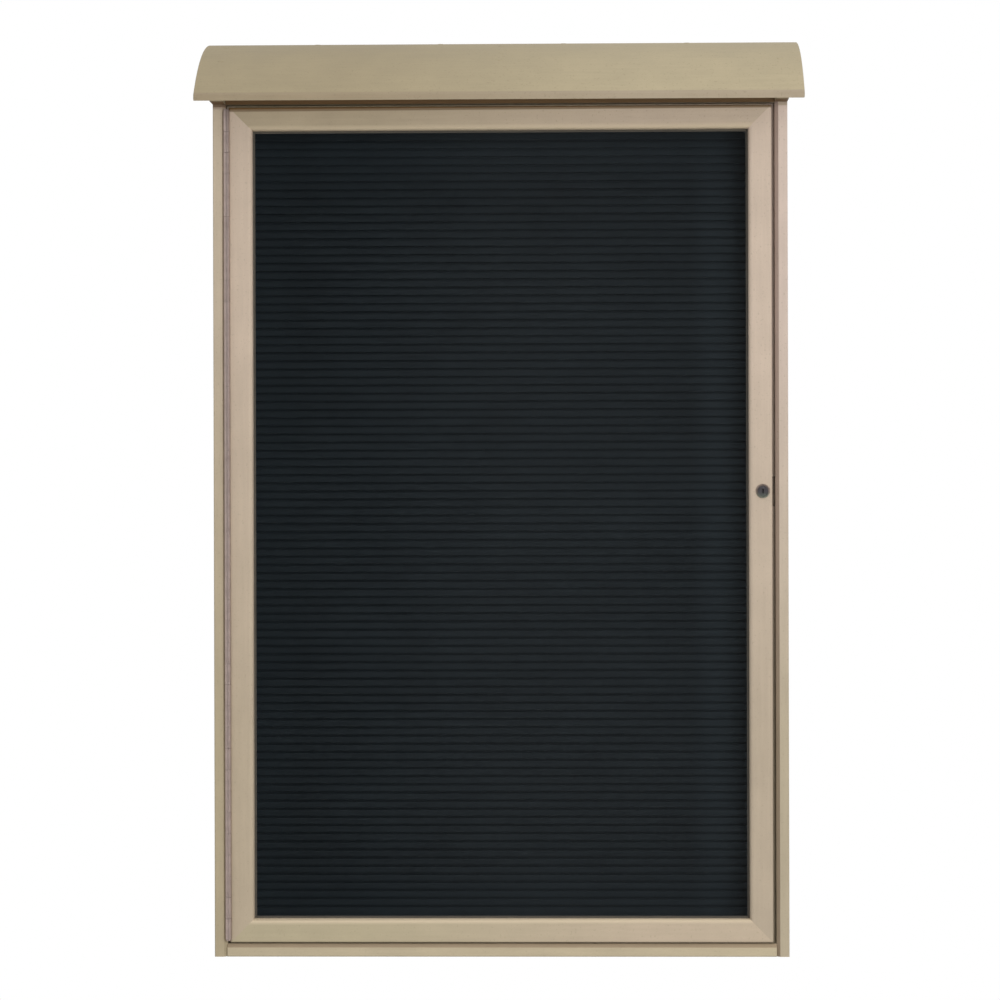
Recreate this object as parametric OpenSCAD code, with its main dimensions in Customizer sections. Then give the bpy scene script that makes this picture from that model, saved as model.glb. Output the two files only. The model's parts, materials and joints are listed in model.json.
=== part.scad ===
// Enclosed outdoor letter board: a hinged, locked, glazed door on a shallow case with a rain hood.
// Millimetres. +Z is up, the front faces -Y, and the back lies against the wall at y = 0.
// The origin is the middle of the case's back, which is also the middle of the four wall bolts.

/* [Case] */
// Width of the case
case_w = 813; // [600:1:1200]
// Height of the case
case_h = 1225; // [900:1:1500]
// Depth of the case from the wall to its front
case_d = 127; // [110:1:180]
// Thickness of the four case boards
board_t = 18; // [16:0.5:24]
// Width of the bevel on a case board's front inner edge
inner_bevel = 5; // [1:0.5:6]
// Rounding of a case board's front outer edge
outer_edge_r = 2; // [1:0.5:4]
// Thickness of the back panel
back_t = 10; // [6:0.5:14]
// How far the back panel runs into each case board
back_seat = 8; // [6:0.5:9]

/* [Door] */
// Gap between the door and each side board
side_gap = 4.5; // [4:0.1:6]
// Gap between the door and the top board
top_gap = 4; // [3:0.5:8]
// Gap between the door and the bottom board
bottom_gap = 2; // [1.5:0.5:10]
// Width of the door moulding
moulding_w = 33; // [32:1:50]
// Thickness of the door moulding
moulding_t = 19; // [17:0.5:24]
// Rounding of the moulding's outer front edge
moulding_outer_r = 3; // [1:0.5:5]
// Rounding of the moulding's front edge next to the pane
moulding_inner_r = 6; // [2:0.5:8]
// Width of the step that holds the pane
rabbet_w = 10; // [7:0.5:10]

/* [Pane] */
// Thickness of the pane
pane_t = 4; // [3:0.5:6]
// Free space between the pane's edge and the moulding
pane_play = 1.5; // [0.5:0.5:3]
// Thickness of the strip in front of the pane
gasket_t = 1; // [0.5:0.25:2]
// Width of that strip that shows inside the moulding
gasket_show = 3; // [1:0.5:6]
// Width of the bars that hold the pane from behind
retainer_w = 18; // [14:1:20]
// Thickness of those bars
retainer_t = 3; // [2:0.5:4]
// How far those bars stay back from the moulding's inner edge
retainer_inset = 1; // [0.5:0.5:3]

/* [Door stops and seal] */
// Width of the stops that the door closes against
stop_w = 12; // [10:0.5:14]
// Depth of the stops
stop_d = 8; // [6:0.5:12]
// Width of the seal on the stops
seal_w = 6.5; // [4:0.5:7]
// Thickness of the seal
seal_t = 2.7; // [1.5:0.1:5]
// Gap between the seal and the closed door
seal_gap = 0.3; // [0.2:0.1:1]

/* [Hinge] */
// Thickness of a hinge leaf
leaf_t = 1.6; // [1.2:0.1:1.8]
// Radius of the knuckles
knuckle_r = 4.25; // [3.3:0.05:4.5]
// Radius of the hinge pin
pin_r = 2; // [1.5:0.1:2.3]
// Length of one knuckle, near enough
knuckle_len = 30; // [20:1:60]
// How far the hinge ends short of the door at each end
hinge_end = 5; // [3:1:30]
// Depth of the leaf on the side board
case_leaf_d = 19; // [14:1:19]
// Depth of the leaf on the door
door_leaf_d = 17; // [14:1:17]
// Distance between the hinge's screws
hinge_screw_pitch = 100; // [60:5:200]

/* [Lock] */
// Height of the lock above the middle of the case
lock_z = 45; // [-80:5:80]
// Distance from the door's outer edge to the lock's axis
lock_inset = 13.5; // [13:0.5:14]
// Radius of the lock's face
lock_head_r = 10; // [9:0.25:10.5]
// Thickness of the lock's face
lock_head_t = 2.5; // [1.5:0.5:4]
// Radius of the lock's barrel
barrel_r = 8; // [7.5:0.25:8]
// Radius of the plug that turns in the barrel
plug_r = 5.95; // [5:0.05:6.2]
// Thickness of the cam
cam_t = 2.5; // [1.5:0.5:4]
// Width of the cam
cam_w = 13; // [12:0.5:14]
// Thickness of the bent strike plate
strike_t = 2; // [1.5:0.5:3]

/* [Letter board] */
// How far the board runs past the pane's opening at each side
letter_margin_x = 11; // [9:1:14]
// How far the board runs past the pane's opening above and below
letter_margin_z = 13; // [10:1:20]
// Thickness of the board
letter_t = 12; // [9:0.5:18]
// Distance from groove to groove
groove_pitch = 11.8; // [6:0.1:20]
// Width of a groove
groove_w = 2.6; // [1.5:0.1:4]
// Depth of a groove
groove_d = 5; // [2:0.5:6]

/* [Hood] */
// How far the hood sheet runs past the case at each side
hood_lap = 21.5; // [5:0.5:40]
// How far the hood reaches in front of the case
hood_reach = 45; // [25:1:100]
// Height of the hood's back edge above the case
hood_rise = 85; // [60:1:120]
// Drop of the hood's front edge below the top of the case
hood_drop = 10; // [4:0.5:11]
// Radius of the hood sheet's outer face
hood_r = 300; // [220:10:600]
// Thickness of the hood sheet
hood_t = 6; // [4:0.5:6.5]
// Thickness of the hood's back board
hood_back_t = 12; // [10:0.5:18]
// How far the hood's end boards stay back from its front edge
hood_end_inset = 12; // [5:1:30]
// How far the hood's centre rib reaches in front of the case
rib_reach = 13; // [0:1:30]

/* [Wall bolts] */
// Radius of the four wall bolt holes
wall_hole_r = 3.5; // [2.5:0.25:5]
// Distance from the case's top or bottom to the wall bolts
wall_bolt_end = 104.5; // [90:0.5:200]
// Distance from the letter board's edge to the wall bolts
wall_bolt_inset = 7; // [6:0.5:8]

/* [Screws] */
// Shank radius of the board screws
board_screw_r = 2.1; // [1.5:0.1:2.6]
// Length of the board screws
board_screw_len = 45; // [36:1:60]
// Shank radius of the small screws
small_screw_r = 1.6; // [1.2:0.1:1.9]
// Length of the small screws
small_screw_len = 16; // [13:0.5:16]
// Free space round every screw
screw_play = 0.1; // [0.05:0.05:0.2]
// Least thickness left past the tip of a screw
tip_cover = 4; // [2:0.5:5]

/* [Hidden] */
$fn = 64;

SAND = [0.72, 0.66, 0.55];
BLACK = [0.06, 0.07, 0.08];
STEEL = [0.62, 0.60, 0.58];
RUBBER = [0.30, 0.30, 0.28];
CLEAR = [0.80, 0.88, 0.90, 0.35];

// A small overshoot for cuts that pass right through
over = 1;
// Gap between boards and panels that slide into place
fit_gap = 0.2;
// Radial gap between the parts that turn in one another
turn_gap = 0.05;
// Gap between parts that pass or clamp side by side
side_play = 0.5;

// Case
half_w = case_w / 2;
half_h = case_h / 2;
in_x = half_w - board_t;
in_z = half_h - board_t;
front_y = -case_d;

// Door
door_x = in_x - side_gap;
door_low = bottom_gap - in_z;
door_top = in_z - top_gap;
door_back_y = front_y + moulding_t;
lip_t = moulding_t - gasket_t - pane_t;
open_x = door_x - moulding_w;
open_low = door_low + moulding_w;
open_top = door_top - moulding_w;
gasket_y = front_y + lip_t;
pane_y = gasket_y + gasket_t;
pane_reach = rabbet_w - pane_play;
retainer_outer = moulding_w - retainer_inset - retainer_w;
retainer_screw_at = (retainer_outer + moulding_w - rabbet_w) / 2;
retainer_back_y = door_back_y + retainer_t;

// Stops and seal
stop_y = door_back_y + seal_t + seal_gap;
stop_back_y = stop_y + stop_d;

// Hinge
pin_x = -(in_x - side_gap / 2);
pin_y = front_y - knuckle_r - side_play / 2;
hinge_low = door_low + hinge_end;
hinge_top = door_top - hinge_end;
knuckles = 2 * floor((hinge_top - hinge_low) / knuckle_len / 2) + 1;
knuckle_pitch = (hinge_top - hinge_low) / knuckles;
knuckle_gap = 0.4;
pin_head_t = 1.5;
pin_head_rim = 1;
pin_head_r = pin_r + pin_head_rim;
leaf_notch_y = pin_y + knuckle_r + side_play;
hinge_screw_y = front_y + moulding_t / 2;
hinge_mid = (hinge_low + hinge_top) / 2;
hinge_screw_end = board_screw_len + 20;
hinge_spaces = floor((hinge_top - hinge_low - 2 * hinge_screw_end) / hinge_screw_pitch);

// Lock
lock_x = door_x - lock_inset;
strike_y = stop_back_y;
cam_y = strike_y + strike_t + side_play;
cam_back_y = cam_y + cam_t;
barrel_end_y = cam_y - fit_gap;
strike_half_h = 20;
strike_leg_d = 25;
strike_screw_d = 15;
strike_clear = 1.5;
strike_edge_x = lock_x + barrel_r + strike_clear;
strike_face_x = in_x - strike_t;
lock_gap_low = lock_z - strike_half_h - side_play;
lock_gap_top = lock_z + strike_half_h + side_play;
cam_tip_gap = 1;
cam_len = strike_face_x - lock_x - cam_tip_gap;
nut_r = 11;
nut_t = 4.5;
nut_play = 1;
plug_rim = 1.3;
plug_head_r = plug_r + plug_rim;
plug_head_t = 1.2;
key_slot = [2, 7, 5];
tang = 7;
cam_screw_r = 2.4;
cam_screw_len = 10;
cam_screw_head_r = 5.5;
cam_screw_head_t = 3;

// Letter board
letter_x = open_x + letter_margin_x;
letter_low = open_low - letter_margin_z;
letter_top = open_top + letter_margin_z;
letter_h = letter_top - letter_low;
letter_back_y = -back_t;
letter_front_y = letter_back_y - letter_t;
groove_count = floor(letter_h / groove_pitch) - 1;
groove_margin = (letter_h - (groove_count - 1) * groove_pitch) / 2;
letter_tip_cover = 1.5;

// Hood: an arc through its back edge and its front edge
hood_x = half_w + hood_lap;
hood_back_z = half_h + hood_rise;
hood_front_y = front_y - hood_reach;
hood_front_z = half_h - hood_drop;
chord_y = -hood_front_y;
chord_z = hood_back_z - hood_front_z;
chord = sqrt(chord_y * chord_y + chord_z * chord_z);
arc_inset = sqrt(hood_r * hood_r - chord * chord / 4);
arc_y = hood_front_y / 2 + arc_inset * chord_z / chord;
arc_z = (hood_back_z + hood_front_z) / 2 - arc_inset * chord_y / chord;
under_r = hood_r - hood_t;
seat_r = under_r - fit_gap;
hood_lip_z = arc_z + sqrt(under_r * under_r - pow(arc_y - hood_front_y, 2));
hood_end_front_y = hood_front_y + hood_end_inset;
rib_front_y = front_y - rib_reach;
cleat = board_t;

// Wall bolts
wall_bolt_x = letter_x + wall_bolt_inset;
wall_bolt_z = half_h - wall_bolt_end;

// Screw heads
board_head_rim = 2;
board_head_r = board_screw_r + board_head_rim;
board_head_h = 2.6;
small_head_rim = 1.6;
small_head_r = small_screw_r + small_head_rim;
small_head_h = 1.9;
recess_reach = 0.55;
recess_depth = 0.6;

// Lengths of the screws that are cut to what they join
back_screw_len = back_t + board_t;
letter_screw_len = back_t + letter_t - groove_d - letter_tip_cover;
stop_screw_len = stop_w + board_t - tip_cover;
retainer_screw_len = retainer_t + moulding_t - tip_cover;
hood_screw_len = board_t + cleat - tip_cover;
shell_screw_bite = 24;
shell_screw_len = hood_t + shell_screw_bite;
shell_head_sink = 0.3;

// Places of the screws, from the edge or corner that each row starts at
case_screw_back = 40;
case_screw_front = 25;
panel_screw_end = 60;
letter_screw_end = 40;
stop_screw_end = 70;
retainer_screw_end = 35;
corner_screw_in = 10;
cleat_screw_back = 57;
cleat_screw_front = 15;
end_screw_back = 32;
end_screw_front = 44;
end_screw_z = 25;
rib_screw_back = 38;
rib_screw_front = 32;
shell_screw_back = 38;
shell_screw_front = 25;
shell_screw_end = 138;

// Evenly spaced places, count of them, between low and high
function spread(low, high, count) =
    [for (i = [0 : count - 1]) low + (high - low) * i / max(1, count - 1)];

// A screw that points down -Z, with its flat head at z = 0
module screw_body(len, r, head_r, head_h) {
    tip = 2 * r;
    rotate_extrude()
        polygon([[0, 0], [head_r, 0], [r, -head_h], [r, tip - len], [0, -len]]);
}

module cross_recess(size, depth) {
    for (a = [0, 90])
        rotate([0, 0, a])
            translate([-size, -size / 5, -depth])
                cube([2 * size, 2 * size / 5, depth + over]);
}

module screw(len, r, head_r, head_h) {
    difference() {
        screw_body(len, r, head_r, head_h);
        cross_recess(head_r * recess_reach, head_h * recess_depth);
    }
}

// The room that such a screw takes, open above its head
module screw_room(len, r, head_r, head_h) {
    rotate_extrude()
        polygon([
            [0, over], [head_r + screw_play, over], [head_r + screw_play, 0],
            [r + screw_play, -head_h], [r + screw_play, -len - screw_play],
            [0, -len - screw_play]
        ]);
}

module board_screw() {
    screw(board_screw_len, board_screw_r, board_head_r, board_head_h);
}

module board_screw_room() {
    screw_room(board_screw_len, board_screw_r, board_head_r, board_head_h);
}

module shell_screw() {
    screw(shell_screw_len, board_screw_r, board_head_r, board_head_h);
}

module shell_screw_room() {
    screw_room(shell_screw_len, board_screw_r, board_head_r, board_head_h);
}

module small_screw() {
    screw(small_screw_len, small_screw_r, small_head_r, small_head_h);
}

module small_screw_room() {
    screw_room(small_screw_len, small_screw_r, small_head_r, small_head_h);
}

// Turns that point a screw along an axis
module point_left() { rotate([0, 90, 0]) children(); }
module point_right() { rotate([0, -90, 0]) children(); }
module point_front() { rotate([-90, 0, 0]) children(); }
module point_up() { rotate([180, 0, 0]) children(); }

// An outline in the (y, z) plane, extruded along +X from x
module along_x(x, len) {
    translate([x, 0, 0])
        rotate([90, 0, 90])
            linear_extrude(len)
                children();
}

// An outline in the (x, z) plane, extruded from y towards the front
module to_front(y, len) {
    translate([0, y, 0])
        rotate([90, 0, 0])
            linear_extrude(len)
                children();
}

// What a bevel takes off a corner at the origin that points to -a and -b
module bevel_cut(width) {
    polygon([[-over, -over], [width + over, -over], [-over, width + over]]);
}

// What a rounding of radius r takes off such a corner
module corner_cut(r) {
    difference() {
        translate([-over, -over])
            square(r + over);
        translate([r, r])
            circle(r);
    }
}

// A case board's section: inner face at a = 0, front face at b = 0, back at b = case_d
module board_section() {
    difference() {
        square([board_t, case_d]);
        bevel_cut(inner_bevel);
        translate([board_t, 0])
            mirror([1, 0])
                corner_cut(outer_edge_r);
        translate([-over, case_d - back_t])
            square([back_seat + over, back_t + over]);
    }
}

// Where the case screws go: through the side boards into the ends of the top and bottom boards
module at_case_screws() {
    places = [-case_screw_back, front_y + case_screw_front];
    for (side = [-1, 1], z = [-1, 1] * (half_h - board_t / 2), y = places)
        translate([side * half_w, y, z])
            if (side < 0) point_right() children(); else point_left() children();
}

module at_back_screws() {
    seat_x = in_x + back_seat / 2;
    seat_z = in_z + back_seat / 2;
    for (side = [-1, 1], z = spread(-in_z + panel_screw_end, in_z - panel_screw_end, 6))
        translate([side * seat_x, 0, z])
            point_front() children();
    for (side = [-1, 1], x = spread(-in_x + panel_screw_end, in_x - panel_screw_end, 4))
        translate([x, 0, side * seat_z])
            point_front() children();
}

module at_letter_screws() {
    end = letter_screw_end;
    for (x = spread(-letter_x + end, letter_x - end, 3))
        for (z = spread(letter_low + end, letter_top - end, 4))
            translate([x, 0, z])
                point_front() children();
}

module at_wall_bolts() {
    for (x = [-1, 1] * wall_bolt_x, z = [-1, 1] * wall_bolt_z)
        translate([x, 0, z])
            children();
}

module at_stop_screws() {
    y = stop_y + stop_d / 2;
    stop_in_x = in_x - stop_w;
    stop_in_z = in_z - stop_w;
    for (z = spread(-in_z + stop_screw_end, in_z - stop_screw_end, 6)) {
        translate([stop_in_x, y, z])
            point_right() children();
        translate([-stop_in_x, y, z])
            point_left() children();
    }
    for (x = spread(-in_x + stop_screw_end, in_x - stop_screw_end, 4)) {
        translate([x, y, stop_in_z])
            point_up() children();
        translate([x, y, -stop_in_z])
            children();
    }
}

module at_hinge_screws() {
    for (i = [0 : hinge_spaces])
        translate([0, hinge_screw_y, hinge_mid + (i - hinge_spaces / 2) * hinge_screw_pitch])
            children();
}

module at_hinge_case_screws() {
    at_hinge_screws()
        translate([-in_x + leaf_t, 0, 0])
            point_left() children();
}

module at_hinge_door_screws() {
    at_hinge_screws()
        translate([-door_x - leaf_t, 0, 0])
            point_right() children();
}

module at_strike_screws() {
    for (z = [-1, 1] * strike_half_h / 2)
        translate([strike_face_x, strike_y + strike_screw_d, lock_z + z])
            point_right() children();
}

module at_cleat_screws() {
    places = [-cleat_screw_back, front_y + cleat_screw_front];
    for (x = [-1, 1] * (in_x - cleat / 2), y = places)
        translate([x, y, half_h + cleat])
            children();
}

module at_rib_screws() {
    for (y = [-rib_screw_back, front_y + rib_screw_front])
        translate([0, y, in_z])
            point_up() children();
}

// Two screws through each hood end into its cleat, and two into the hood's back board
module at_end_screws() {
    spots = [
        [-end_screw_back, half_h + cleat / 2],
        [front_y + end_screw_front, half_h + cleat / 2],
        [-hood_back_t / 2, half_h + end_screw_z],
        [-hood_back_t / 2, hood_back_z - end_screw_z]
    ];
    for (s = spots) {
        translate([-half_w, s[0], s[1]])
            point_right() children();
        translate([half_w, s[0], s[1]])
            point_left() children();
    }
}

// Across the hood sheet, square to it: into the ends, the rib and the back board
module at_shell_screws() {
    end_x = half_w - board_t / 2;
    back_lean = asin(arc_y / hood_r);
    back_y = -(hood_back_t + shell_screw_len * sin(back_lean)) / 2;
    for (x = [-end_x, 0, end_x], y = [-shell_screw_back, front_y + shell_screw_front])
        on_sheet(x, y) children();
    for (x = spread(-half_w + shell_screw_end, half_w - shell_screw_end, 4))
        on_sheet(x, back_y) children();
}

module on_sheet(x, y) {
    lean = asin((arc_y - y) / hood_r);
    translate([x, arc_y, arc_z])
        rotate([lean, 0, 0])
            translate([0, 0, hood_r - shell_head_sink])
                children();
}

module at_retainer_screws() {
    u = retainer_screw_at;
    end = retainer_screw_end;
    side_z = spread(open_low + end, open_top - end, 6);
    end_x = spread(-open_x + end, open_x - end, 4);
    for (side = [-1, 1], z = side_z)
        translate([side * (door_x - u), retainer_back_y, z])
            point_front() children();
    for (z = [door_low + u, door_top - u], x = end_x)
        translate([x, retainer_back_y, z])
            point_front() children();
}

module at_corner_screws() {
    for (x = [-1, 1] * (door_x - corner_screw_in)) {
        translate([x, hinge_screw_y, door_top])
            children();
        translate([x, hinge_screw_y, door_low])
            point_up() children();
    }
}

// Case

module side_board() {
    difference() {
        translate([in_x, front_y, -half_h])
            linear_extrude(case_h)
                board_section();
        at_case_screws() board_screw_room();
        at_back_screws() back_screw_room();
    }
}

module back_screw_room() {
    screw_room(back_screw_len, board_screw_r, board_head_r, board_head_h);
}

module left_side_board() {
    color(SAND)
        difference() {
            mirror([1, 0, 0]) side_board();
            at_hinge_case_screws() small_screw_room();
            at_stop_screws() stop_screw_room();
        }
}

module right_side_board() {
    color(SAND)
        difference() {
            side_board();
            at_stop_screws() stop_screw_room();
            at_strike_screws() small_screw_room();
        }
}

// The section lies in the (y, z) plane, with its inner face down
module end_board() {
    along_x(-in_x, 2 * in_x)
        translate([front_y, in_z])
            mirror([1, -1])
                board_section();
}

module top_board() {
    color(SAND)
        difference() {
            end_board();
            at_case_screws() board_screw_room();
            at_back_screws() back_screw_room();
            at_stop_screws() stop_screw_room();
            at_cleat_screws() hood_screw_room();
            at_rib_screws() board_screw_room();
        }
}

module bottom_board() {
    color(SAND)
        difference() {
            mirror([0, 0, 1]) end_board();
            at_case_screws() board_screw_room();
            at_back_screws() back_screw_room();
            at_stop_screws() stop_screw_room();
        }
}

module back_panel() {
    x = in_x + back_seat - fit_gap;
    z = in_z + back_seat - fit_gap;
    color(SAND)
        difference() {
            translate([-x, -back_t, -z])
                cube([2 * x, back_t, 2 * z]);
            at_back_screws() back_screw_room();
            at_letter_screws() letter_screw_room();
            at_wall_bolts()
                translate([0, over, 0])
                    rotate([90, 0, 0])
                        cylinder(h = back_t + 2 * over, r = wall_hole_r);
        }
}

module case_screws() {
    color(SAND) at_case_screws() board_screw();
}

module back_panel_screws() {
    color(STEEL)
        at_back_screws()
            screw(back_screw_len, board_screw_r, board_head_r, board_head_h);
}

// Letter board

// One groove's four corners, seen from the side, with its middle at z
function groove(z) = [
    [letter_front_y, z - groove_w / 2],
    [letter_front_y + groove_d, z - groove_w / 2],
    [letter_front_y + groove_d, z + groove_w / 2],
    [letter_front_y, z + groove_w / 2]
];

letter_outline = concat(
    [[letter_back_y, letter_top], [letter_back_y, letter_low], [letter_front_y, letter_low]],
    [for (i = [0 : groove_count - 1])
        each groove(letter_low + groove_margin + i * groove_pitch)],
    [[letter_front_y, letter_top]]
);

module letter_screw_room() {
    screw_room(letter_screw_len, small_screw_r, small_head_r, small_head_h);
}

module letter_board() {
    color(BLACK)
        difference() {
            along_x(-letter_x, 2 * letter_x)
                polygon(letter_outline);
            at_letter_screws() letter_screw_room();
        }
}

module letter_board_screws() {
    color(STEEL)
        at_letter_screws()
            screw(letter_screw_len, small_screw_r, small_head_r, small_head_h);
}

// Stops and seal

module stop_screw_room() {
    screw_room(stop_screw_len, small_screw_r, small_head_r, small_head_h);
}

module side_stop() {
    translate([in_x - stop_w, stop_y, -in_z])
        cube([stop_w, stop_d, 2 * in_z]);
}

module stop_left() {
    color(SAND)
        difference() {
            mirror([1, 0, 0]) side_stop();
            at_stop_screws() stop_screw_room();
        }
}

module stop_right() {
    color(SAND)
        difference() {
            side_stop();
            at_stop_screws() stop_screw_room();
            translate([in_x - stop_w - over, stop_y - over, lock_gap_low])
                cube([stop_w + 2 * over, stop_d + 2 * over, lock_gap_top - lock_gap_low]);
        }
}

module end_stop() {
    x = in_x - stop_w - fit_gap;
    translate([-x, stop_y, in_z - stop_w])
        cube([2 * x, stop_d, stop_w]);
}

module stop_top() {
    color(SAND)
        difference() {
            end_stop();
            at_stop_screws() stop_screw_room();
        }
}

module stop_bottom() {
    color(SAND)
        difference() {
            mirror([0, 0, 1]) end_stop();
            at_stop_screws() stop_screw_room();
        }
}

module stop_screws() {
    color(STEEL)
        at_stop_screws()
            screw(stop_screw_len, small_screw_r, small_head_r, small_head_h);
}

// A strip of the seal on the stops' front, from its low left corner
module seal_strip(x, z, w, h) {
    translate([x, stop_y - seal_t, z])
        cube([w, seal_t, h]);
}

// The end strips run the full width, and the side strips are cut to fit between them
module door_seal() {
    x = in_x - stop_w + fit_gap;
    z = in_z - stop_w;
    color(RUBBER) {
        seal_strip(-x - seal_w, -z, seal_w, 2 * z);
        seal_strip(x, -z, seal_w, lock_gap_low + z);
        seal_strip(x, lock_gap_top, seal_w, z - lock_gap_top);
        for (low = [-z - fit_gap - seal_w, z + fit_gap])
            seal_strip(-x - seal_w, low, 2 * (x + seal_w), seal_w);
    }
}

// Hood

// A cylinder along X round the middle of the hood's arc
module arc_cylinder(x, r) {
    translate([-x, arc_y, arc_z])
        rotate([0, 90, 0])
            cylinder(h = 2 * x, r = r, $fn = 256);
}

module hood_shell() {
    color(SAND)
        difference() {
            intersection() {
                arc_cylinder(hood_x, hood_r);
                translate([-hood_x - over, hood_front_y, hood_lip_z - hood_rise])
                    cube([2 * hood_x + 2 * over, -hood_front_y, 3 * hood_rise]);
            }
            arc_cylinder(hood_x + over, under_r);
            at_shell_screws() shell_screw_room();
        }
}

// The outline under the hood sheet from y to the wall, above the height low
module under_hood(y, low) {
    intersection() {
        translate([arc_y, arc_z])
            circle(seat_r, $fn = 256);
        translate([y, low])
            square([-y, hood_back_z - low]);
    }
}

module hood_screw() {
    screw(hood_screw_len, board_screw_r, board_head_r, board_head_h);
}

module hood_screw_room() {
    screw_room(hood_screw_len, board_screw_r, board_head_r, board_head_h);
}

// It stands on a side board and hangs down in front of it, level with the top board's underside
module hood_end() {
    difference() {
        along_x(in_x, board_t)
            difference() {
                under_hood(hood_end_front_y, in_z);
                translate([front_y, in_z - over])
                    square([case_d + over, board_t + over]);
            }
        at_end_screws() hood_screw_room();
        at_shell_screws() shell_screw_room();
    }
}

module hood_right_end() {
    color(SAND) hood_end();
}

module hood_left_end() {
    color(SAND) mirror([1, 0, 0]) hood_end();
}

module hood_back_board() {
    color(SAND)
        difference() {
            along_x(-in_x, 2 * in_x)
                under_hood(-hood_back_t, half_h);
            at_end_screws() hood_screw_room();
            at_shell_screws() shell_screw_room();
        }
}

module hood_centre_rib() {
    color(SAND)
        difference() {
            along_x(-board_t / 2, board_t)
                difference() {
                    under_hood(rib_front_y, half_h);
                    translate([-hood_back_t, half_h - over])
                        square([hood_back_t + over, hood_rise + over]);
                }
            at_rib_screws() board_screw_room();
            at_shell_screws() shell_screw_room();
        }
}

module hood_cleat() {
    difference() {
        translate([in_x - cleat, front_y, half_h])
            cube([cleat, case_d - hood_back_t, cleat]);
        at_cleat_screws() hood_screw_room();
        at_end_screws() hood_screw_room();
    }
}

module hood_right_cleat() {
    color(SAND) hood_cleat();
}

module hood_left_cleat() {
    color(SAND) mirror([1, 0, 0]) hood_cleat();
}

module hood_shell_screws() {
    color(SAND) at_shell_screws() shell_screw();
}

module hood_end_screws() {
    color(SAND) at_end_screws() hood_screw();
}

module hood_cleat_screws() {
    color(STEEL) at_cleat_screws() hood_screw();
}

module hood_rib_screws() {
    color(STEEL) at_rib_screws() board_screw();
}

// Hinge

// One leaf: a plate from the x given, with the knuckles whose number has this parity
module hinge_leaf(x, depth, parity) {
    difference() {
        union() {
            translate([x, leaf_notch_y, hinge_low])
                cube([leaf_t, front_y + depth - leaf_notch_y, hinge_top - hinge_low]);
            for (i = [parity : 2 : knuckles - 1])
                translate([0, 0, hinge_low + i * knuckle_pitch + knuckle_gap / 2]) {
                    translate([pin_x, pin_y, 0])
                        cylinder(h = knuckle_pitch - knuckle_gap, r = knuckle_r);
                    translate([x, pin_y, 0])
                        cube([leaf_t, leaf_notch_y - pin_y + over, knuckle_pitch - knuckle_gap]);
                }
        }
        translate([pin_x, pin_y, hinge_low - over])
            cylinder(h = hinge_top - hinge_low + 2 * over, r = pin_r + turn_gap);
    }
}

module hinge_case_leaf() {
    color(STEEL)
        difference() {
            hinge_leaf(-in_x, case_leaf_d, 0);
            at_hinge_case_screws() small_screw_room();
        }
}

module hinge_door_leaf() {
    color(STEEL)
        difference() {
            hinge_leaf(-door_x - leaf_t, door_leaf_d, 1);
            at_hinge_door_screws() small_screw_room();
        }
}

module hinge_pin() {
    color(STEEL)
        translate([pin_x, pin_y, 0])
            rotate_extrude()
                polygon([
                    [0, hinge_low - fit_gap - pin_head_t],
                    [pin_head_r, hinge_low - fit_gap - pin_head_t],
                    [pin_head_r, hinge_low - fit_gap],
                    [pin_r, hinge_low - fit_gap],
                    [pin_r, hinge_top + fit_gap],
                    [pin_head_r, hinge_top + fit_gap],
                    [pin_head_r, hinge_top + fit_gap + pin_head_t],
                    [0, hinge_top + fit_gap + pin_head_t]
                ]);
}

module hinge_case_screws() {
    color(STEEL) at_hinge_case_screws() small_screw();
}

module hinge_door_screws() {
    color(STEEL) at_hinge_door_screws() small_screw();
}

// Door frame

// The moulding's section: outer edge at a = 0, front at b = 0
module moulding_section() {
    difference() {
        square([moulding_w, moulding_t]);
        corner_cut(moulding_outer_r);
        translate([moulding_w, 0])
            mirror([1, 0])
                corner_cut(moulding_inner_r);
        translate([moulding_w - rabbet_w, lip_t])
            square([rabbet_w + over, moulding_t]);
    }
}

// The region of the door that one stile covers, with its mitred ends
module stile_region() {
    polygon([
        [door_x, door_low], [door_x, door_top],
        [open_x, open_top], [open_x, open_low]
    ]);
}

module rail_region() {
    polygon([
        [-door_x, door_top], [door_x, door_top],
        [open_x, open_top], [-open_x, open_top]
    ]);
}

module bottom_rail_region() {
    polygon([
        [-door_x, door_low], [door_x, door_low],
        [open_x, open_low], [-open_x, open_low]
    ]);
}

module mitred_stile() {
    intersection() {
        translate([door_x, front_y, door_low])
            mirror([1, 0, 0])
                linear_extrude(door_top - door_low)
                    moulding_section();
        to_front(door_back_y + over, moulding_t + 2 * over)
            stile_region();
    }
}

// A rail's section lies in the (y, z) plane, with its outer edge at the top
module rail_bar() {
    along_x(-door_x, 2 * door_x)
        translate([front_y, 0])
            rotate(-90)
                moulding_section();
}

module door_hinge_stile() {
    color(SAND)
        difference() {
            mirror([1, 0, 0]) mitred_stile();
            at_hinge_door_screws() small_screw_room();
            at_retainer_screws() retainer_screw_room();
            at_corner_screws() board_screw_room();
        }
}

module door_lock_stile() {
    color(SAND)
        difference() {
            mitred_stile();
            at_retainer_screws() retainer_screw_room();
            at_corner_screws() board_screw_room();
            translate([lock_x, door_back_y + over, lock_z])
                rotate([90, 0, 0])
                    cylinder(h = moulding_t + 2 * over, r = barrel_r + fit_gap / 2);
        }
}

module door_top_rail() {
    color(SAND)
        difference() {
            intersection() {
                translate([0, 0, door_top]) rail_bar();
                to_front(door_back_y + over, moulding_t + 2 * over)
                    rail_region();
            }
            at_retainer_screws() retainer_screw_room();
            at_corner_screws() board_screw_room();
        }
}

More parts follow.
